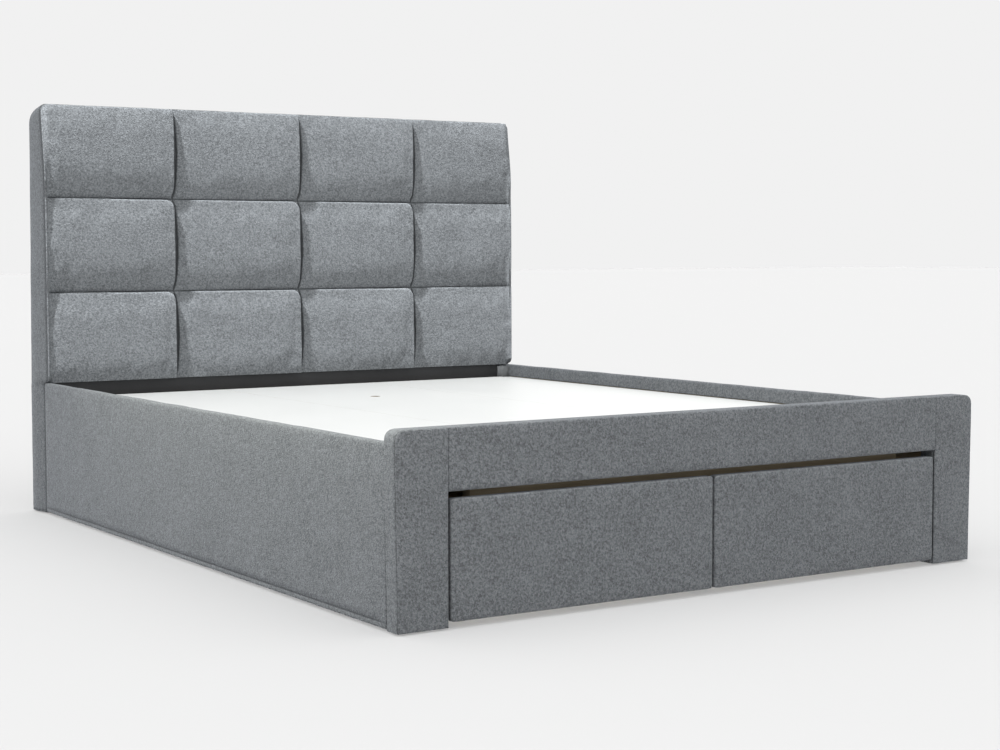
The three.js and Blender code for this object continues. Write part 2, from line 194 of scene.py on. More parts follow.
YARN = 300  # knots of the chenille's yarn to a metre
CHENILLE_BASE = (0.144, 0.1525, 0.1605)
# The last share is the colour of the shade painted along sewn lines.
PILE_DARK, PILE_LIGHT, PAINTED_SEAM_SHADE = 0.62, 1.40, 0.24  # shares of the base colour


def chenille():
    """Short-pile chenille: flecks of a few millimetres over slow cloudy patches, with shade painted
    into the colour, dark, where a mesh's attribute marks a sewn line."""
    t = Tree("grey_chenille", Sheen_Weight=0.20, Sheen_Roughness=0.45)
    t.shader.inputs["Sheen Tint"].default_value = (0.86, 0.92, 1.0, 1)
    t.shader.inputs["Specular IOR Level"].default_value = 0.12
    yarn = t.grey(t.cells(YARN))
    fleck = t.noise(165, 3, 0.7)
    pile = t.noise(460, 2, 0.65)
    tuft = t.noise(62, 2, 0.55)
    cloud = t.noise(9, 3, 0.55, distortion=0.4)
    tone = t.total(
        0.5,
        t.swing(yarn, 0.55),
        t.swing(fleck, 2.5),
        t.swing(pile, 1.6),
        t.swing(tuft, 0.42),
        t.swing(cloud, 0.40),
    )
    dark, light, seam_shade_colour = (
        scaled(CHENILLE_BASE, share) for share in (PILE_DARK, PILE_LIGHT, PAINTED_SEAM_SHADE)
    )
    # The sewn lines' attribute paints shade into the colour, from the tone down to the dark share.
    t.colour(t.between(t.attribute("seam_shade"), t.between(tone, dark, light), seam_shade_colour))
    t.roughness(t.total(0.93, t.swing(fleck, 0.12)))
    knots = t.math("MULTIPLY", t.cells(YARN, output="Distance"), 1.2)
    t.bump(t.total(knots, t.swing(fleck, 1.0), t.swing(pile, 0.8)), 0.45, 0.0016)
    return t.material


def lining_cloth():
    """Non-woven dust cloth, pressed in a fine dimple pattern."""
    t = Tree("charcoal_nonwoven", Sheen_Weight=0.15, Sheen_Roughness=0.5)
    fibre = t.noise(700, 3, 0.7)
    cloud = t.noise(14, 2, 0.5)
    dimple = t.cells(520, output="Distance")
    tone = t.total(0.5, t.swing(fibre, 0.7), t.swing(cloud, 0.4), t.swing(dimple, 0.3))
    t.colour(t.between(tone, (0.026, 0.027, 0.029), (0.052, 0.053, 0.056)))
    t.roughness(t.total(0.86, t.swing(fibre, 0.1)))
    t.bump(t.total(dimple, t.swing(fibre, 0.6)), 0.3, 0.0006)
    return t.material


RING_SCALE, PORE_SCALE = (34.0, 1.6), (260.0, 9.0)  # across the grain and along it


def wood(name, dark, light, grain_axis, rough=0.62):
    """Sawn wood with its grain along one axis."""
    t = Tree(name)

    def along_grain(scale):
        return t.stretched([scale[axis == grain_axis] for axis in range(3)])

    rings = t.noise(1.0, 4, 0.6, at=along_grain(RING_SCALE), distortion=0.8)
    pores = t.noise(1.0, 3, 0.7, at=along_grain(PORE_SCALE))
    patch = t.noise(5, 2, 0.5)
    tone = t.total(0.5, t.swing(rings, 2.0), t.swing(pores, 0.6), t.swing(patch, 0.5))
    t.colour(t.between(tone, dark, light))
    t.roughness(t.total(rough, t.swing(pores, 0.25)))
    t.bump(t.total(t.swing(pores, 1.0), t.swing(rings, 0.7)), 0.35, 0.0008)
    return t.material


def laminate():
    """Satin white panel with a faint orange peel, and its board's brown edge at the sides."""
    t = Tree("white_laminate", Coat_Weight=0.08, Coat_Roughness=0.3)
    t.shader.inputs["Specular IOR Level"].default_value = 0.5
    peel = t.noise(95, 3, 0.5)
    smear = t.noise(3.2, 3, 0.6, distortion=0.6)
    cloudy = t.total(0.5, t.swing(smear, 0.8))
    face = t.between(cloudy, (0.70, 0.712, 0.70), (0.74, 0.75, 0.74))
    edge = t.between(t.noise(400, 2, 0.6), (0.20, 0.13, 0.07), (0.42, 0.31, 0.19))
    t.colour(t.between(t.math("ABSOLUTE", t.facing_up()), edge, face))
    t.roughness(t.total(0.48, t.swing(smear, 0.16), t.swing(peel, 0.06)))
    t.bump(peel, 0.03, 0.0005)
    return t.material


def steel():
    """Zinc-plated sheet: fine brushing under a cloudy plating."""
    t = Tree("zinc_steel", Metallic=0.92)
    brushed = t.noise(1.0, 2, 0.6, at=t.stretched((900, 900, 40)))
    plate = t.cells(60)
    tone = t.total(0.5, t.swing(brushed, 0.6), t.swing(t.grey(plate), 0.35))
    t.colour(t.between(tone, (0.36, 0.37, 0.38), (0.62, 0.63, 0.64)))
    t.roughness(t.total(0.36, t.swing(brushed, 0.25)))
    t.bump(brushed, 0.12, 0.0003)
    return t.material


def plastic(name, dark, light, rough):
    """Moulded plastic with a fine spark texture and handling marks."""
    t = Tree(name)
    spark = t.noise(1400, 2, 0.6)
    scuff = t.noise(70, 3, 0.6, distortion=1.0)
    t.colour(t.between(t.total(0.5, t.swing(scuff, 0.9)), dark, light))
    t.roughness(t.total(rough, t.swing(scuff, 0.2)))
    t.bump(t.total(spark, t.swing(scuff, 0.4)), 0.12, 0.0004)
    return t.material


CHENILLE = chenille()
LINING = lining_cloth()
LAMINATE = laminate()
STEEL = steel()
WHITE_PLASTIC = plastic("white_plastic", (0.62, 0.62, 0.60), (0.80, 0.80, 0.78), 0.42)
GREY_PLASTIC = plastic("grey_plastic", (0.055, 0.058, 0.062), (0.10, 0.104, 0.11), 0.5)
TIMBER = [
    wood(f"timber_{axis}", (0.40, 0.26, 0.13), (0.66, 0.50, 0.31), i)
    for i, axis in enumerate("xyz")
]
PLY = [
    wood(f"plywood_{axis}", (0.20, 0.155, 0.09), (0.36, 0.29, 0.19), i, rough=0.7)
    for i, axis in enumerate("xyz")
]
BEVEL = {"white_laminate": 0.0008, "timber": 0.0015, "plywood": 0.0008, "steel": 0.0005}
BEVEL_ANGLE = 40  # degrees; smoother edges stay as they are
NODE_FINISH = {
    "timber": TIMBER,
    "plywood": PLY,
    "white_laminate": LAMINATE,
    "charcoal_cloth": LINING,
    "grey_fabric": CHENILLE,
    "steel": STEEL,
    "white_plastic": WHITE_PLASTIC,
    "grey_plastic": GREY_PLASTIC,
}


def finish_node(name, slot_name):
    """Gives a CAD node its material, with wood's grain along its longest side, and rounds
    its edges a little."""
    node = frame["nodes"][name]
    finish = NODE_FINISH[slot_name]
    if isinstance(finish, list):
        low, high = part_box(name)
        size = high - low
        finish = finish[max(range(3), key=lambda axis: size[axis])]
    if not node.material_slots:
        node.data.materials.append(finish)
    for place in node.material_slots:
        place.material = finish
    if slot_name in BEVEL:
        bevel = node.modifiers.new("edge", "BEVEL")
        bevel.width, bevel.segments = BEVEL[slot_name], 2
        bevel.limit_method, bevel.angle_limit = "ANGLE", math.radians(BEVEL_ANGLE)


# ---------------------------------------------------------------- meshes


def make_piece(name, points, faces, material, body, replaces, seam_shades=()):
    """A smooth-shaded piece on a body, in place of CAD nodes; the last argument gives how much shade
    is painted into each point's colour along a sewn line, from 0 to 1."""
    mesh = bpy.data.meshes.new(name)
    mesh.from_pydata([tuple(p) for p in points], [], faces)
    # The attribute holds the shade painted along sewn lines.
    if len(seam_shades):
        mesh.attributes.new("seam_shade", "FLOAT", "POINT").data.foreach_set("value", seam_shades)
    mesh.validate()
    mesh.update()
    mesh.polygons.foreach_set("use_smooth", [True] * len(mesh.polygons))
    mesh.materials.append(material)
    piece = bpy.data.objects.new(name, mesh)
    scene.collection.objects.link(piece)
    bpy.context.view_layer.update()
    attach(piece, body)
    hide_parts(*replaces)
    return piece


def grid_quads(rows, columns, first=0, flip=False):
    """The faces of a grid whose points start at index first."""
    quads = []
    for i in range(rows - 1):
        for j in range(columns - 1):
            a = first + i * columns + j
            quad = (a, a + 1, a + columns + 1, a + columns)
            quads.append(quad[::-1] if flip else quad)
    return quads


def rim_of(rows, columns):
    """The outline's points of a grid, in order."""
    return (
        list(range(columns))
        + [i * columns + columns - 1 for i in range(1, rows)]
        + [(rows - 1) * columns + j for j in range(columns - 2, -1, -1)]
        + [i * columns for i in range(rows - 2, 0, -1)]
    )


def ruffle(*at, size, seed=0.0):
    """Smooth noise from -1 to 1 with features of about size metres."""
    spot = Vector((*at, 0.0, 0.0)[:3]) / size
    return noise.noise(spot + Vector((seed + 0.37, 2.7 * seed + 0.21, 0.63 - 1.3 * seed)))


def lines(low, high, r_low, r_high, step, arc=5):
    """Grid lines across a panel: closer together round each rounded edge."""
    turn = [1 - math.cos(math.pi / 2 * k / arc) for k in range(arc)]
    count = max(2, round((high - low - r_low - r_high) / step))
    middle = np.linspace(low + r_low, high - r_high, count + 1)
    return [*(low + r_low * t for t in turn), *middle, *(high - r_high * t for t in reversed(turn))]


def round_off(distance, radius):
    """How far a rounded edge falls back at this distance from the side."""
    if radius <= 0 or distance >= radius:
        return 0.0
    return radius - math.sqrt(max(0.0, radius**2 - (radius - distance) ** 2))


def wall_rings(depth, seam, rings):
    """(place back, sink) of each ring down a slab's side; a sewn edge has a fine groove near
    the front, seam deep."""
    if seam:
        yield from ((0.0004, 0.0), (0.0014, seam), (0.0038, seam), (0.0050, 0.0))
    start = 0.0065 if seam else 0.0
    for k in range(1, rings):
        yield start + (depth - start) * k / rings, 0.0


ON_SIDE = 1e-4  # a point this near a slab's side is on it
GROOVE_SHADE = 0.75  # the shade painted into a sewn edge's groove


def slab(low, high, depth, edge, corner, step, shape, back_round=0.003, rings=6, seam=0.0):
    """A closed padded panel in (across, up, back), as points, faces and the shade painted along its
    sewn grooves. edge gives each side's rounding, as a number, or as a function of the place along it
    and its greatest value. corner gives the outline's corner radii, and shape(a, b) lifts the face."""
    widest = {k: (v[1] if isinstance(v, tuple) else v) for k, v in edge.items()}

    def radius(side, along):
        return edge[side][0](along) if isinstance(edge[side], tuple) else edge[side]

    across = lines(low[0], high[0], widest["left"], widest["right"], step)
    up = lines(low[1], high[1], widest["bottom"], widest["top"], step)
    rows, columns = len(up), len(across)

    def outline(a, b):
        for side, at, sign_a, sign_b in (
            ("bottom_left", (low[0], low[1]), 1, 1),
            ("bottom_right", (high[0], low[1]), -1, 1),
            ("top_left", (low[0], high[1]), 1, -1),
            ("top_right", (high[0], high[1]), -1, -1),
        ):
            r = corner.get(side, 0)
            near_a, near_b = (a - at[0]) * sign_a, (b - at[1]) * sign_b
            if r > 0 and near_a < r and near_b < r:
                p, q = (r - near_a) / r, (r - near_b) / r
                length = math.hypot(p, q)
                if length > 0:
                    k = max(p, q) / length
                    a, b = at[0] + sign_a * r * (1 - p * k), at[1] + sign_b * r * (1 - q * k)
        return a, b

    def fall(a, b, left, right, bottom, top):
        return max(
            round_off(a - low[0], left),
            round_off(high[0] - a, right),
            round_off(b - low[1], bottom),
            round_off(high[1] - b, top),
        )

    points = []
    for b in up:
        for a in across:
            radii = radius("left", b), radius("right", b), radius("bottom", a), radius("top", a)
            points.append((*outline(a, b), fall(a, b, *radii) - shape(a, b)))
    for b in up:
        for a in across:
            points.append((*outline(a, b), depth - fall(a, b, *[back_round] * 4)))
    size = rows * columns
    faces = grid_quads(rows, columns) + grid_quads(rows, columns, size, flip=True)
    rim = rim_of(rows, columns)
    loops = [rim]
    seam_shades = [0.0] * len(points)
    middle = ((low[0] + high[0]) / 2, (low[1] + high[1]) / 2)
    half = (middle[0] - low[0], middle[1] - low[1])
    for back, sink in wall_rings(depth, seam, rings):
        loop = []
        for index in rim:
            front, rear = points[index], points[index + size]
            a, b = front[0] - middle[0], front[1] - middle[1]
            if abs(a) > half[0] - ON_SIDE or (sink and abs(a) / half[0] > abs(b) / half[1]):
                a -= math.copysign(sink, a)
            if abs(b) > half[1] - ON_SIDE:
                b -= math.copysign(sink, b)
            d = front[2] + (rear[2] - front[2]) * back / depth
            loop.append(len(points))
            points.append((middle[0] + a, middle[1] + b, d))
            # Painted shade along a sewn edge's groove.
            seam_shades.append(GROOVE_SHADE if sink else 0.0)
        loops.append(loop)
    loops.append([index + size for index in rim])
    for one, two in zip(loops, loops[1:]):
        for k in range(len(rim)):
            n = (k + 1) % len(rim)
            faces.append((one[k], two[k], two[n], one[n]))
    return points, faces, seam_shades


def facing_foot(front):
    """A function from (across, up, back) to (X, Y, Z), for a panel whose face looks along -Y."""
    return lambda p: (p[0], front + p[2], p[1])


def tube(sections):
    """A closed band through a list of equal closed sections, with a cap at each end."""
    count = len(sections[0])
    points = [p for section in sections for p in section]
    faces = []
    for s in range(len(sections) - 1):
        for k in range(count):
            n = (k + 1) % count
            faces.append((s * count + k, s * count + n, (s + 1) * count + n, (s + 1) * count + k))
    faces.append(tuple(reversed(range(count))))
    faces.append(tuple((len(sections) - 1) * count + k for k in range(count)))
    return points, faces


ROUND_STEPS = 5


def rounded_loop(corners, spacing):
    """A closed outline through (x, y, radius) corners, with a point at least every spacing."""
    loop = []
    count = len(corners)
    for i in range(count):
        before, here, after = (Vector(corners[k % count][:2]) for k in (i - 1, i, i + 1))
        r = corners[i][2]
        into, out = (here - before).normalized(), (after - here).normalized()
        start, end = here - into * r, here + out * r
        if r > 0:
            for k in range(ROUND_STEPS + 1):
                t = k / ROUND_STEPS
                loop.append((1 - t) ** 2 * start + 2 * t * (1 - t) * here + t * t * end)
        else:
            loop.append(here)
        next_r = corners[(i + 1) % count][2]
        stop = after - out * next_r
        last = loop[-1]
        extra = int((stop - last).length / spacing)
        loop += [last.lerp(stop, k / (extra + 1)) for k in range(1, extra + 1)]
    return loop


# ---------------------------------------------------------------- upholstery


SIM_FRAMES = 20
TINY = 1e-9  # keeps a division away from zero


def simulate(piece, pinned, pressure, cap, grow):
    """Inflates a sheet held at its pinned points, lets it grow by a share of its size and move
    by cap at most, and keeps the result in its mesh."""
    group = piece.vertex_groups.new(name="pinned")
    group.add(pinned, 1.0, "REPLACE")
    rest = np.empty(len(piece.data.vertices) * 3)
    piece.data.vertices.foreach_get("co", rest)
    rest = rest.reshape(-1, 3)
    cloth = piece.modifiers.new("cloth", "CLOTH")
    s = cloth.settings
    s.quality, s.mass, s.air_damping = 6, 0.25, 2.0
    s.tension_stiffness = s.compression_stiffness = 18
    s.shear_stiffness, s.bending_stiffness = 6, 0.6
    s.vertex_group_mass = "pinned"
    s.use_pressure, s.uniform_pressure_force = True, pressure
    s.shrink_min = -grow
    s.effector_weights.gravity = 0
    cloth.point_cache.frame_start, cloth.point_cache.frame_end = 1, SIM_FRAMES
    for at in range(1, SIM_FRAMES + 1):
        scene.frame_set(at)
    evaluated = piece.evaluated_get(bpy.context.evaluated_depsgraph_get())
    moved = np.empty(len(rest) * 3)
    evaluated.data.vertices.foreach_get("co", moved)
    moved = moved.reshape(-1, 3)
    piece.modifiers.remove(cloth)
    piece.vertex_groups.clear()
    scene.frame_set(1)
    shift = moved - rest
    length = np.linalg.norm(shift, axis=1, keepdims=True)
    shift *= np.minimum(1.0, cap / np.maximum(length, TINY))
    piece.data.vertices.foreach_set("co", (rest + shift).ravel())
    piece.data.update()


QUILT_LOW, QUILT_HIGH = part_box("headboard_quilted_front")
COLUMN_SEAMS = (QUILT_LOW.x, -0.410, 0.016, 0.432, QUILT_HIGH.x)
ROW_SEAMS = (QUILT_LOW.z, 0.657, 0.937, QUILT_HIGH.z)
QUILT_SEAM = 0.996  # Y of the sewn lines
QUILT_CORNER = 0.018  # the radius of the outline's top corners
QUILT_CROWN = 0.0260  # a full pad's height, low enough for the centre deck board to lift past

# A pad climbs from its left side to its right one, and every height is a share of the crown.
FIRST_LEFT, LEFT = 0.82, 0.21  # at the left side, in the first column and in the others
CLIMB = 0.75  # the climb's exponent
ROLL, ROLL_DROP = 0.005, 0.55  # the right edge's radius, and how far it falls there
PAD_CORNER, CORNER_DROP = 0.036, 0.6  # the same for the pads' corners
CORNER_FROM, CORNER_SPAN = 0.85, 0.35  # where the corner's fall starts and how fast it ends
TOP_SHARE, FOOT_SHARE = 0.72, 0.10  # how much of the height stands straight up from a seam
TOP_POWER, FOOT_POWER, ROUNDNESS = 3, 2.2, 0.6  # the rest is round, and rounder below
LOWEST_DROP = 0.22  # the fall at the quilt's lower edge
HIGHEST_DROP = 0.42  # and at its upper edge
PAD_TILT, PAD_UNEVEN, UNEVEN_SIZE = 0.06, 0.03, 0.15  # its lean and its slow unevenness

# The seams, in metres.
CHANNEL, CHANNEL_SWELL = 0.0020, 0.0160  # the open channel at a pad's left, wider at mid-height
CHANNEL_STEPS = [*(0.0016 * k for k in range(17)), 0.028]  # places across it
PAD_SEAM_STEPS = (0.0, 0.0009, 0.0018, 0.0027, 0.0036, 0.0046, 0.006, 0.0085, 0.012, 0.0165, 0.023)
PAD_STEP = 0.0095  # the grid's step in the middle of a pad
# The middle value sets where the shade painted into a channel stops.
WALL_OUT, SEAM_SHADE_OUT, WALL = 0.0016, 0.0010, 0.0024  # the wall at a channel's edge
ROW_WALL_IN, ROW_WALL = 0.0004, 0.0020  # and at a row seam
SIDE_FORWARD, SIDE_GAIN, SIDE_LEAST = 0.0265, 0.003, 0.10  # how far the side seam comes forward
SIDE_GAIN_SPAN, SIDE_FOOT_SPAN, SIDE_TOP_SPAN = 0.5, 0.016, 0.24  # and over what heights
EDGE_REACH = 0.010  # how far in the quilt's side edges pull the pads
NOTCH = 0.22  # how far the side edge dips at a row seam
COLUMN_PUCKER, ROW_PUCKER = (0.0019, 0.019, 0.024), (0.0014, 0.023, 0.020)  # lift, size, reach
PUCKER_FADE = 0.004  # flat again this near the stitches
OVERHANG, SAG = 0.004, 0.005  # how far a full pad leans over its right seam and its lower one
OVERHANG_GAIN, OVERHANG_FADE, SAG_GAIN = 1.3, 0.003, 1.2
SHADE_LINE_WIDTH = 0.0022  # of the dark line of shade painted along a row seam
SHADE, SHADE_FADE = 0.22, 0.012  # of the shade painted on the pile just above a row seam
# How dark the shade painted in the quilt's seams is at most.
SEAM_SHADE_STRENGTH = 0.85

SIM_STEPS = (20, 14)  # grid steps across and up one pad while it is inflated
SIM_PRESSURE, SIM_CAP, SIM_GROW = 3.5, 0.012, 0.02
SIM_START = 0.8  # the share of a pad's height that it starts from
SIM_DEPTH = 0.3  # how much of the simulated depth is kept
SIM_BASE, SIM_DEEPEST = 0.2, 0.004  # the share of the height added back to it, and its limit


def smooth(t):
    """Eases from 0 to 1 as t does, and stays there."""
    t = min(1.0, max(0.0, t))
    return t * t * (3 - 2 * t)


def perimeter(z):
    """How far the padding carries the headboard's side seam forward at this height: not at all
    below the quilt, little at its top and most from its middle down."""
    below_top = QUILT_HIGH.z - z
    full = SIDE_FORWARD + SIDE_GAIN * smooth(below_top / SIDE_GAIN_SPAN)
    rise = smooth((z - QUILT_LOW.z - 0.001) / SIDE_FOOT_SPAN)
    fade = smooth((below_top + 0.03) / SIDE_TOP_SPAN)
    return full * rise * (SIDE_LEAST + (1 - SIDE_LEAST) * fade)


def pad_lines(seams, first_steps):
    """Places across a row of pads, closer together at every seam."""
    places = [seams[0]]
    for start, end in zip(seams, seams[1:]):
        count = max(2, round((end - start) / PAD_STEP))
        inner = np.linspace(start + first_steps[-1], end - PAD_SEAM_STEPS[-1], count)
        places += [start + t for t in first_steps[1:]]
        places += list(inner[1:-1])
        places += [end - t for t in reversed(PAD_SEAM_STEPS)]
    return places


def pad_at(place, seams):
    """Which pad a place is in, how far across it from -1 to 1, and how far from its nearer seam."""
    k = min(len(seams) - 2, max(0, bisect(seams, place) - 1))
    half = (seams[k + 1] - seams[k]) / 2
    across = min(1.0, max(-1.0, (place - seams[k]) / half - 1))
    return k, across, (1 - abs(across)) * half


def pad_rise(v, row, last_row, wall):
    """A pad's share of its full height at v, from -1 at its foot to 1 at its top."""
    if row == 0 and v < 0:
        return 1 - LOWEST_DROP * abs(v) ** 4
    share, power = (TOP_SHARE, TOP_POWER) if v > 0 else (FOOT_SHARE, FOOT_POWER)
    rounded = max(0.0, 1 - abs(v) ** power) ** ROUNDNESS
    if row == last_row and v > 0:
        return 1 - HIGHEST_DROP + HIGHEST_DROP * rounded
    return share * wall + (1 - share) * rounded


def puckers(x, z, off_u, off_v, seed):
    """The small gathers that a stitched line leaves in the cloth beside it."""
    lift, size, reach = COLUMN_PUCKER
    gathers = lift * math.exp(-off_u / reach) * ruffle(x * 0.1, z, size=size, seed=seed)
    lift, size, reach = ROW_PUCKER
    gathers += lift * math.exp(-off_v / reach) * ruffle(x, z * 0.1, size=size, seed=seed + 9)
    return gathers * min(1.0, off_u / PUCKER_FADE) * min(1.0, off_v / PUCKER_FADE)


def pad_height(x, z, slit):
    """The stuffed cover's lift at (x, z), how far it hangs over to the right and down, and how much
    shade is painted on its pile at the seams. slit sinks the sewn channels and puckers the cloth as
    well."""
    column, u, off_u = pad_at(x, COLUMN_SEAMS)
    row, v, off_v = pad_at(z, ROW_SEAMS)
    last_column, last_row = len(COLUMN_SEAMS) - 2, len(ROW_SEAMS) - 2
    seed = column + 4.0 * row
    at_side = (column == 0 and u < 0) or (column == last_column and u > 0)
    above_foot, below_top = 0 < row or v > 0, row < last_row or v < 0
    left = FIRST_LEFT if column == 0 else LEFT
    side = left + (1 - left) * ((u + 1) / 2) ** CLIMB
    if u > 0 and not at_side:
        roll = min(1.0, off_u / ROLL)
        side *= 1 - ROLL_DROP + ROLL_DROP * math.sqrt(1 - (1 - roll) ** 2)
    channel = CHANNEL + (CHANNEL_SWELL * (1 - v * v) ** ROUNDNESS if u < 0 else 0.0)
    wall = 1.0
    if slit and not at_side:
        side *= smooth((off_u - channel + WALL_OUT) / WALL)
        wall = smooth((off_v - ROW_WALL_IN) / ROW_WALL)
    rise = pad_rise(v, row, last_row, wall)
    lift = side * rise
    if not at_side and above_foot and below_top:
        near_u, near_v = (max(0.0, 1 - off / PAD_CORNER) for off in (off_u, off_v))
        near = math.hypot(near_u, near_v)
        lift *= 1 - CORNER_DROP * smooth((near - CORNER_FROM) / CORNER_SPAN)
    uneven = PAD_UNEVEN * ruffle(x, z, size=UNEVEN_SIZE, seed=seed)
    height = QUILT_CROWN * lift * (1 - PAD_TILT * v * (1 - v * v) + uneven)
    if at_side:
        edge = math.exp(-((off_u / EDGE_REACH) ** 2))
        notch = 1 - NOTCH * (1 - rise) * above_foot * below_top
        height = height * (1 - edge) + edge * perimeter(z) * notch
    if slit:
        height += puckers(x, z, off_u, off_v, seed)
    over = OVERHANG * smooth((u + 1) / 2) * min(1.0, lift * OVERHANG_GAIN)
    over *= smooth(off_u / OVERHANG_FADE)
    sag = SAG * lift * smooth(-SAG_GAIN * v) * above_foot
    # Painted shade: dark in the open channel at a pad's left, in a line along each row seam, and
    # fading upward from it.
    seam_shade = 1 - smooth((off_u - channel + SEAM_SHADE_OUT) / WALL)
    if at_side:
        over = seam_shade = 0.0
    if above_foot:
        seam_shade = max(seam_shade, math.exp(-((off_v / SHADE_LINE_WIDTH) ** 2)) * below_top)
        seam_shade = max(seam_shade, SHADE * math.exp(-off_v / SHADE_FADE) * (v < 0))
    return height, over, sag, seam_shade


def inflate_quilt():
    """Blows up a coarse copy of the cover by cloth simulation, and gives how far each of its
    points went."""
    xs, zs = (
        np.interp(np.arange(steps * (len(seams) - 1) + 1), np.arange(len(seams)) * steps, seams)
        for steps, seams in zip(SIM_STEPS, (COLUMN_SEAMS, ROW_SEAMS))
    )
    counts = (len(xs), len(zs))
    rest = []
    pinned = []
    for i, z in enumerate(zs):
        for j, x in enumerate(xs):
            if i % SIM_STEPS[1] == 0 or j % SIM_STEPS[0] == 0:
                pinned.append(len(rest))
            rest.append((x, QUILT_SEAM - SIM_START * pad_height(x, z, False)[0], z))
    mesh = bpy.data.meshes.new("quilt_sim")
    mesh.from_pydata(rest, [], grid_quads(counts[1], counts[0]))
    copy = bpy.data.objects.new("quilt_sim", mesh)
    scene.collection.objects.link(copy)
    simulate(copy, pinned, SIM_PRESSURE, SIM_CAP, SIM_GROW)
    moved = np.array([v.co for v in mesh.vertices]) - np.array(rest)
    bpy.data.objects.remove(copy)
    return xs, zs, moved.reshape(counts[1], counts[0], 3)


def spread(xs, zs, field, x_to, z_to):
    """The simulated movement, read off on a finer grid."""
    across = np.array([[np.interp(x_to, xs, line[:, k]) for k in range(3)] for line in field])
    columns = range(len(x_to))
    return np.array([[np.interp(z_to, zs, across[:, k, j]) for k in range(3)] for j in columns])


def round_top_corner(x, z, high, radius):
    """Draws a point in from a square top corner on to one with this radius."""
    near_x, near_z = radius - (high.x - abs(x)), radius - (high.z - z)
    if near_x > 0 and near_z > 0:
        k = max(near_x, near_z) / math.hypot(near_x, near_z)
        x = math.copysign(high.x - radius + near_x * k, x)
        z = high.z - radius + near_z * k
    return x, z


def make_quilt():
    """The headboard's front: one cover sewn down along its seams and stuffed between them."""
    across, up = pad_lines(COLUMN_SEAMS, CHANNEL_STEPS), pad_lines(ROW_SEAMS, PAD_SEAM_STEPS)
    field = np.zeros((len(across), 3, len(up)))
    field = spread(*inflate_quilt(), np.array(across), np.array(up))
    front, seam_shades = [], []
    for i, z in enumerate(up):
        for j, x in enumerate(across):
            height, over, sag, seam_shade = pad_height(x, z, True)
            # Each point's painted seam shade.
            seam_shades.append(SEAM_SHADE_STRENGTH * seam_shade)
            dx, dy, dz = field[j, :, i]
            y = QUILT_SEAM - height + min(dy + SIM_BASE * height, SIM_DEEPEST) * SIM_DEPTH
            at_x, at_z = round_top_corner(x + over + dx, z - sag + dz, QUILT_HIGH, QUILT_CORNER)
            front.append((at_x, y, at_z))
    columns, rows = len(across), len(up)
    size = rows * columns
    back = [(p[0], QUILT_HIGH.y, p[2]) for p in front]
    rim = rim_of(rows, columns)
    faces = grid_quads(rows, columns) + grid_quads(rows, columns, size, flip=True)
    for k, index in enumerate(rim):
        after = rim[(k + 1) % len(rim)]
        faces.append((index, index + size, after + size, after))
    points, seam_shades = front + back, seam_shades + [0.0] * len(back)
    name, node = "headboard_quilt", "headboard_quilted_front"
    quilt = make_piece(name, points, faces, CHENILLE, "bed_frame", [node], seam_shades)
    return quilt


BAND_THICK = 0.008
BAND_REAR_GROWTH = 0.003  # the padding stands this far behind the board
BAND_RADII = (0.018, 0.052)  # the top corners at the front seam and at the rear
BAND_CROWN, BAND_BULGE = 0.0030, 0.009  # the padding's swell, and what it gains low down
BULGE_GAIN, BULGE_FROM, BULGE_SPAN = 1.4, 0.2, 1.1  # where the bulge grows and fades
BAND_PUCKER, BAND_WAVE = 0.0014, 0.0009  # gathers along the seam, and slow unevenness
PUCKER_REACH = 0.014
GROOVE_AT, GROOVE_DEPTH, GROOVE_WIDTH = 0.0045, 0.0012, 0.0024  # the seam's stitched line
BAND_GROOVE_SHADE = 0.8  # the shade painted into it
BAND_SPACING = 0.006
ARC_STEPS, TOP_STEPS = 9, 150
# Where the gathers' noise is read: steps along an arc and the top, and each part's start.
ARC_RUN, TOP_RUN, TOP_START, RIGHT_ARC_START, RIGHT_START = 0.005, 0.011, 2.0, 4.3, 7


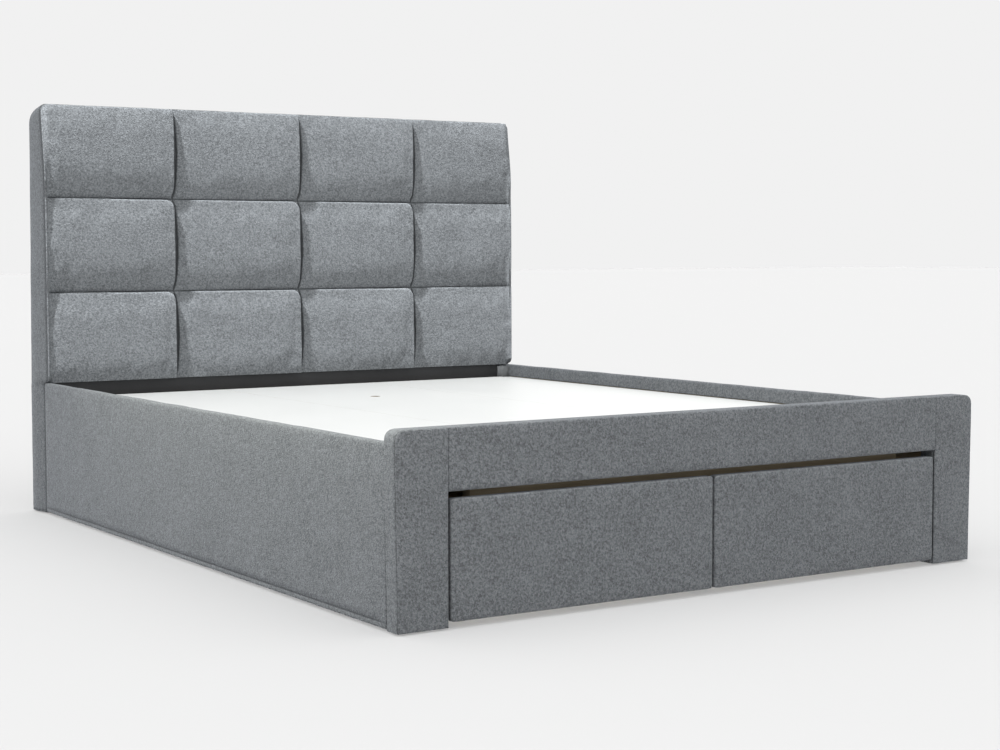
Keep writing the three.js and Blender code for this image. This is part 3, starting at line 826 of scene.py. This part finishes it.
def make_border():
    """The band round the headboard's edge, padded, with a seam at the front and a soft rear
    corner."""
    low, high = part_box("headboard_border")
    half, top, foot = high.x, high.z, low.z
    front, rear = low.y, high.y + BAND_REAR_GROWTH
    thick, depth = BAND_THICK, rear - front
    profile = rounded_loop(
        [
            (thick, 0, 0),
            (0, 0, 0.003),
            (0, GROOVE_AT, 0),
            (0, 0.0065, 0),
            (0, depth, 0.010),
            (thick, depth, 0),
        ],
        BAND_SPACING,
    )
    sections, seam_shades = [], []

    def section(place_at, run, forward, bulge):
        ring = []
        for inward, back in profile:
            t = back / depth
            y = front - forward * (1 - t) + back
            skin = 1.0 if inward < thick * 0.6 else 0.0
            crown = BAND_CROWN * (1 - (2 * t - 1) ** 4) + bulge * smooth(t * BULGE_GAIN)
            seam = math.exp(-back / PUCKER_REACH) * BAND_PUCKER * ruffle(run, size=0.020, seed=3)
            wave = BAND_WAVE * ruffle(run, back, size=0.10, seed=5)
            groove = math.exp(-(((back - GROOVE_AT) / GROOVE_WIDTH) ** 2))
            # Painted shade along the seam's stitched groove.
            seam_shades.append(skin * BAND_GROOVE_SHADE * groove)
            px, pz, nx, nz = place_at(BAND_RADII[0] + (BAND_RADII[1] - BAND_RADII[0]) * t)
            lift = skin * (crown + seam + wave - GROOVE_DEPTH * groove) - inward
            ring.append((px + nx * lift, y, pz + nz * lift))
        return ring

    def on_side(sign, z):
        share = (z - foot) / (top - foot)
        return lambda r: (sign * half, foot + (top - r - foot) * share, sign, 0.0)

    def on_arc(sign, turn):
        return lambda r: (
            sign * (half - r + r * math.cos(turn)),
            top - r + r * math.sin(turn),
            sign * math.cos(turn),
            math.sin(turn),
        )

    def on_top(share):
        return lambda r: ((-half + r) + (2 * half - 2 * r) * share, top, 0.0, 1.0)

    quilt_foot = QUILT_LOW.z
    heights = list(np.linspace(foot, quilt_foot - 0.004, 36))
    heights += [quilt_foot + d for d in (0.0015, 0.004, 0.008, 0.013)]
    heights += list(np.linspace(quilt_foot + 0.02, top, 82)[:-1])
    top_forward = perimeter(top)

    def bulge(z):
        return BAND_BULGE * (1 - smooth((z - BULGE_FROM) / BULGE_SPAN))

    for z in heights:
        sections.append(section(on_side(-1, z), z, perimeter(z), bulge(z)))
    for k in range(ARC_STEPS):
        turn = math.pi / 2 * k / ARC_STEPS
        sections.append(section(on_arc(-1, turn), top + k * ARC_RUN, top_forward, 0))
    for k in range(TOP_STEPS):
        sections.append(section(on_top(k / TOP_STEPS), TOP_START + k * TOP_RUN, top_forward, 0))
    for k in range(ARC_STEPS):
        turn = math.pi / 2 * (1 - k / ARC_STEPS)
        sections.append(section(on_arc(1, turn), RIGHT_ARC_START + k * ARC_RUN, top_forward, 0))
    for z in reversed(heights):
        sections.append(section(on_side(1, z), RIGHT_START - z, perimeter(z), bulge(z)))
    points, faces = tube(sections)
    name, node = "headboard_side_band", "headboard_border"
    border = make_piece(name, points, faces, CHENILLE, "bed_frame", [node], seam_shades)


CLOTH_STEP, CLOTH_ROUND = 0.022, 0.0006


def make_flat_cloth(name, node, facing, sag, tuck=(0.0, 0.0)):
    """A thin cloth stretched over the headboard's frame. tuck says how far it goes under the band
    at the sides and at the top."""
    low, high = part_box(node)
    low, high = low - Vector((tuck[0], 0, 0)), high + Vector((tuck[0], 0, tuck[1]))
    corner = BAND_RADII[1] - (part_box("headboard_border")[1].x - high.x)  # follows the band's
    edge = dict.fromkeys(("left", "right", "top", "bottom"), CLOTH_ROUND)
    ends = (low.x, low.z), (high.x, high.z)
    thick = high.y - low.y
    points, faces, _ = slab(
        *ends, thick, edge, {}, CLOTH_STEP, lambda a, b: 0.0, back_round=CLOTH_ROUND, rings=2
    )

    def place(p):
        x, z, d = p
        u = (x - low.x) / (high.x - low.x) * 2 - 1
        v = (z - low.z) / (high.z - low.z) * 2 - 1
        slack = (1 - u**8) * (1 - v**8)
        give = sag * slack * (0.6 + 0.5 * ruffle(x, z, size=0.3, seed=7))
        give += 0.0005 * slack * ruffle(x, z, size=0.05, seed=8)
        if any(tuck):
            x, z = round_top_corner(x, z, high, corner)
        return (x, low.y + d + facing * give, z)

    points = [place(p) for p in points]
    cloth = make_piece(name, points, faces, LINING, "bed_frame", [node])


HEM_AT = 0.013  # the stitched hem's height above a side rail's lower edge
# The last value is how dark the shade painted into the hem's groove is.
HEM_WIDTH, HEM_DEPTH, HEM_SHADE = 0.002, 0.0016, 0.6
RAIL_SKIN = 0.003  # the thickness of the cover's cloth and wadding
RAIL_INNER_HEM = 0.351  # Z of the hem inside the rail, just above the deck
RAIL_SWELL, RAIL_WAVE, RAIL_RIPPLE, RAIL_TOP_WAVE = 0.0016, 0.0011, 0.0004, 0.0009
RAIL_END = 0.05  # the padding grows over this length from each end
RAIL_STATIONS, RAIL_SPACING = 168, 0.012


def make_rail_cover(side):
    """Fabric over a side rail's board: outside, over the top and down to the hem inside."""
    sign = -1 if side == "left" else 1
    name, node = f"side_rail_upholstery_{side}", f"side_rail_cover_{side}"
    low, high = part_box(node)
    outer, inner = max(abs(low.x), abs(high.x)), min(abs(low.x), abs(high.x))
    skin, hem = RAIL_SKIN, RAIL_INNER_HEM
    bottom, top = low.z, high.z
    profile = rounded_loop(
        [
            (inner + skin, hem, 0.0),
            (inner, hem, 0.001),
            (inner, top, 0.006),
            (outer, top, 0.0075),
            (outer, bottom + HEM_AT + 0.003, 0.0),
            (outer, bottom + HEM_AT, 0.0),
            (outer, bottom + HEM_AT - 0.003, 0.0),
            (outer, bottom, 0.004),
            (inner + skin, bottom, 0.001),
            (inner + skin, bottom + skin, 0.0),
            (outer - skin, bottom + skin, 0.0),
            (outer - skin, top - skin, 0.0),
            (inner + skin, top - skin, 0.0),
        ],
        RAIL_SPACING,
    )
    close = (0.0, 0.0006, 0.0018, 0.0036, 0.006)
    stations = [low.y + t for t in close]
    stations += list(np.linspace(low.y + 0.012, high.y - 0.012, RAIL_STATIONS))
    stations += [high.y - t for t in reversed(close)]
    sections, seam_shades = [], []
    for y in stations:
        end = min(1.0, min(y - low.y, high.y - y) / RAIL_END)
        tuck = round_off(high.y - y, 0.006) + round_off(y - low.y, 0.004)
        ring, hem_shades = [], []
        for x, z in profile:
            t = (z - bottom) / (top - bottom)
            out = hem_line = 0.0
            if x > outer - skin * 0.6:
                out = RAIL_SWELL * (1 - (2 * t - 1) ** 6)
                out += RAIL_WAVE * ruffle(y, z, size=0.17, seed=sign * 3.0)
                out += RAIL_RIPPLE * ruffle(y, z, size=0.045, seed=sign * 5.0)
                hem_line = math.exp(-(((z - bottom - HEM_AT) / HEM_WIDTH) ** 2))
                out -= HEM_DEPTH * hem_line
                out = out * end - tuck * 0.42
            on_top = z > top - 0.004
            lift = RAIL_TOP_WAVE * ruffle(y, x, size=0.08, seed=11.0 * sign) if on_top else 0.0
            ring.append((sign * (x + out), y, z + lift * end))
            # Painted shade along the hem's groove.
            hem_shades.append(HEM_SHADE * hem_line)
        sections.append(ring if sign > 0 else ring[::-1])
        seam_shades += hem_shades if sign > 0 else hem_shades[::-1]
    points, faces = tube(sections)
    cover = make_piece(name, points, faces, CHENILLE, "bed_frame", [node], seam_shades)


SLOT_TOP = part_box("footboard_rail_cover")[0].z
SOFT_EDGE, SEWN_EDGE, SEAM_EDGE = 0.0045, 0.0026, 0.0020  # radii: folded, sewn, sewn to a panel
FOOT_FLARE = 0.0045  # the padding makes the top this much wider at each side
FOOT_CORNER = 0.022
PANEL_GAP = 0.0001  # keeps neighbouring panels from sharing a plane
SEWN_GROOVE = 0.0013
COVER_STEP = 0.010  # the covers' grid step


def panel_swell(low, high, crown, wave, wave_size, seed, side_power):
    """A function that lifts a thinly padded panel's face, but not at its edges."""

    def shape(a, b):
        u = 2 * (a - low.x) / (high.x - low.x) - 1
        v = 2 * (b - low.z) / (high.z - low.z) - 1
        slow = wave * ruffle(a, b, size=wave_size, seed=seed)
        fine = 0.0004 * ruffle(a, b, size=0.04, seed=seed)
        return (1 - u**side_power) * (1 - v**8) * (crown + slow + fine)

    return shape


def make_foot_cover(part):
    """One panel of the footboard's cover: a post or the rail, sewn together at the posts' inner
    edges."""
    node = "footboard_rail_cover" if part == "rail" else f"footboard_post_cover_{part}"
    low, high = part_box(node)

    def seam_side(z):
        t = min(1.0, max(0.0, (SLOT_TOP + 0.004 - z) / 0.012))
        return SEAM_EDGE + (SOFT_EDGE - SEAM_EDGE) * t

    edge = {"left": SOFT_EDGE, "right": SOFT_EDGE, "top": SEWN_EDGE, "bottom": 0.005}
    corner = {}
    if part == "rail":
        edge.update(left=SEAM_EDGE, right=SEAM_EDGE, bottom=0.006)
    elif part == "left":
        edge.update(left=SEWN_EDGE, right=(seam_side, SOFT_EDGE))
        corner = {"top_left": FOOT_CORNER}
    else:
        edge.update(left=(seam_side, SOFT_EDGE), right=SEWN_EDGE)
        corner = {"top_right": FOOT_CORNER}
    seed = {"rail": 1.0, "left": 2.0, "right": 3.0}[part]
    shape = panel_swell(low, high, 0.0012, 0.0010, 0.13, seed, side_power=8)
    # The slab also gives the shade painted into its sewn grooves.
    points, faces, seam_shades = slab(
        (low.x + PANEL_GAP, low.z),
        (high.x - PANEL_GAP, high.z),
        high.y - low.y,
        edge,
        corner,
        COVER_STEP,
        shape,
        back_round=0.006,
        rings=8,
        seam=SEWN_GROOVE,
    )

    def place(p):
        x, y, z = facing_foot(low.y)(p)
        outer = smooth((abs(x) - 0.72) / 0.1)
        return x + math.copysign(FOOT_FLARE * outer * smooth(z / high.z), x), y, z

    name = f"footboard_upholstery_{part}"
    points = [place(p) for p in points]
    cover = make_piece(name, points, faces, CHENILLE, "bed_frame", [node], seam_shades)


HEM_DROP = 0.005  # a drawer's cover hangs this far below its board's edge
DRAWER_CORNER = 0.0075


def make_drawer_cover(side):
    """A drawer front's cover: thin padding pulled over a board, folded in at the corners."""
    node = f"drawer_{side}_front_cover"
    low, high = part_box(node)
    edge = dict.fromkeys(("left", "right", "top", "bottom"), SOFT_EDGE)
    corners = ("top_left", "top_right", "bottom_left", "bottom_right")
    corner = dict.fromkeys(corners, DRAWER_CORNER)
    seed = 4.0 if side == "left" else 5.0
    shape = panel_swell(low, high, 0.0010, 0.0009, 0.12, seed, side_power=10)
    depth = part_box(f"drawer_{side}_front_board")[1].y - low.y
    start = (low.x, low.z - HEM_DROP)
    points, faces, _ = slab(
        start, (high.x, high.z), depth, edge, corner, COVER_STEP, shape, rings=5
    )
    points = [facing_foot(low.y)(p) for p in points]
    name, body = f"drawer_{side}_upholstery", BODY_OF[node]
    cover = make_piece(name, points, faces, CHENILLE, body, [node])


# ---------------------------------------------------------------- studio


FLOOR_HALF = 60.0  # the floor's half width
FLOOR_ALBEDO = 0.62


def make_floor():
    """A plain pale floor, too wide for its edges to be seen."""
    mesh = bpy.data.meshes.new("floor")
    signs = ((-1, -1), (1, -1), (1, 1), (-1, 1))
    corners = [(sx * FLOOR_HALF, sy * FLOOR_HALF, 0) for sx, sy in signs]
    mesh.from_pydata(corners, [], [(0, 1, 2, 3)])
    t = Tree("floor_paper", Roughness=1.0)
    t.shader.inputs["Specular IOR Level"].default_value = 0.0
    t.shader.inputs["Base Color"].default_value = (FLOOR_ALBEDO, FLOOR_ALBEDO, FLOOR_ALBEDO, 1)
    mesh.materials.append(t.material)
    floor = bpy.data.objects.new("floor", mesh)
    scene.collection.objects.link(floor)
    floor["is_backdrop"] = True
    return floor


BACKGROUND = 0.879  # the backdrop's brightness, linear
SKY_STOPS = [(0.0, BACKGROUND), (0.68, BACKGROUND), (1.0, 1.0)]  # (share of the way up, brightness)


def make_world():
    """An even pale backdrop that brightens overhead."""
    world = bpy.data.worlds.new("studio")
    world.use_nodes = True
    nodes, links = world.node_tree.nodes, world.node_tree.links
    way = nodes.new("ShaderNodeTexCoord")
    split = nodes.new("ShaderNodeSeparateXYZ")
    links.new(way.outputs["Generated"], split.inputs[0])
    share = nodes.new("ShaderNodeMapRange")
    share.inputs["From Min"].default_value, share.inputs["From Max"].default_value = -1, 1
    links.new(split.outputs["Z"], share.inputs["Value"])
    ramp = nodes.new("ShaderNodeValToRGB")
    while len(ramp.color_ramp.elements) < len(SKY_STOPS):
        ramp.color_ramp.elements.new(0.5)
    for element, (at, value) in zip(ramp.color_ramp.elements, SKY_STOPS):
        element.position, element.color = at, (value, value, value, 1)
    links.new(share.outputs[0], ramp.inputs[0])
    links.new(ramp.outputs[0], nodes["Background"].inputs["Color"])
    scene.world = world


def add_sun(name, toward, strength, angle, colour=(1, 1, 1), shadow=True):
    """A sun in this direction from the bed; angle is its width in degrees."""
    data = bpy.data.lights.new(name, "SUN")
    data.energy, data.angle, data.color = strength, math.radians(angle), colour
    data.use_shadow = shadow
    sun = bpy.data.objects.new(name, data)
    sun.rotation_mode = "QUATERNION"
    sun.rotation_quaternion = Vector(toward).to_track_quat("Z", "Y")
    scene.collection.objects.link(sun)
    return sun


def add_panel(name, place, target, size, power, colour):
    """A soft rectangular light aimed at the target, itself unseen."""
    data = bpy.data.lights.new(name, "AREA")
    data.shape, data.size, data.size_y = "RECTANGLE", *size
    data.energy, data.color = power, colour
    panel = bpy.data.objects.new(name, data)
    panel.location = place
    panel.rotation_mode = "QUATERNION"
    panel.rotation_quaternion = (Vector(place) - Vector(target)).to_track_quat("Z", "Y")
    panel.visible_camera = False
    panel.visible_glossy = False
    scene.collection.objects.link(panel)
    return panel


def light_only(lights, name, objects):
    """Keeps these lights off everything but the given objects."""
    group = bpy.data.collections.new(name)
    for o in objects:
        group.objects.link(o)
    for light in lights:
        light.light_linking.receiver_collection = group


# ---------------------------------------------------------------- the scene

make_camera()

quilt = make_quilt()
make_border()
make_flat_cloth("headboard_lower_lining", "headboard_lower_cloth", 1, 0.0004)
make_flat_cloth(
    "headboard_back_lining",
    "headboard_back_cloth",
    -1,
    0.0,
    tuck=(0.00495, 0.011),
)
for side in ("left", "right"):
    make_rail_cover(side)
    make_drawer_cover(side)
for part in ("left", "right", "rail"):
    make_foot_cover(part)


def slot_of(name):
    """A CAD node's material slot, from what it is."""
    for words, slot_name in (
        (("glide",), "white_plastic"),
        (("_wheel_",), "grey_plastic"),
        (("_axle_", "bracket"), "steel"),
        (("deck_panel",), "white_laminate"),
        (("side_rail_board", "ledger", "_board", "_bottom", "_back", "_side_"), "plywood"),
        (("cloth",), "charcoal_cloth"),
        (("cover", "quilted", "border"), "grey_fabric"),
    ):
        if any(word in name for word in words):
            return slot_name
    return "timber"


for name in frame["nodes"]:
    finish_node(name, slot_of(name))

KEY_WAY, KEY_ANGLE = (-0.26, -0.15, 0.95), 9
floor = make_floor()
make_world()
key = add_sun("key", KEY_WAY, 2.0, KEY_ANGLE)
# The floor stays pale under the bed, and the quilt's own grazing light brings out its pads.
floor_key = add_sun("floor_key", KEY_WAY, 1.68, KEY_ANGLE, shadow=False)
quilt_key = add_sun("quilt_key", (-0.46, -0.125, 0.88), 11.5, 2.5, (0.98, 0.99, 1.0))
side_fill = add_panel(
    "side_fill",
    place=(-0.92, -0.30, 0.72),
    target=(-0.84, -0.30, 0.20),
    size=(1.8, 0.06),
    power=4.2,
    colour=(1.0, 1.0, 0.84),
)
front_fill = add_panel(
    "front_fill",
    place=(-0.9, -1.42, 1.0),
    target=(-0.6, -1.1, 0.30),
    size=(1.0, 0.2),
    power=1.2,
    colour=(1.0, 0.98, 1.0),
)
head_fill = add_panel(
    "head_fill",
    place=(-0.3, -0.95, 1.5),
    target=(0.0, 1.0, 0.75),
    size=(2.0, 0.8),
    power=16,
    colour=(0.97, 0.99, 1.0),
)
light_only([quilt_key, head_fill], "lit_quilt", [quilt])
light_only([key], "lit_pieces", [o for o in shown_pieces() if o != quilt])
light_only([side_fill, front_fill], "lit_base", [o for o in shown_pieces() if "upholstery" in o.name])
light_only([floor_key], "lit_floor", [floor])
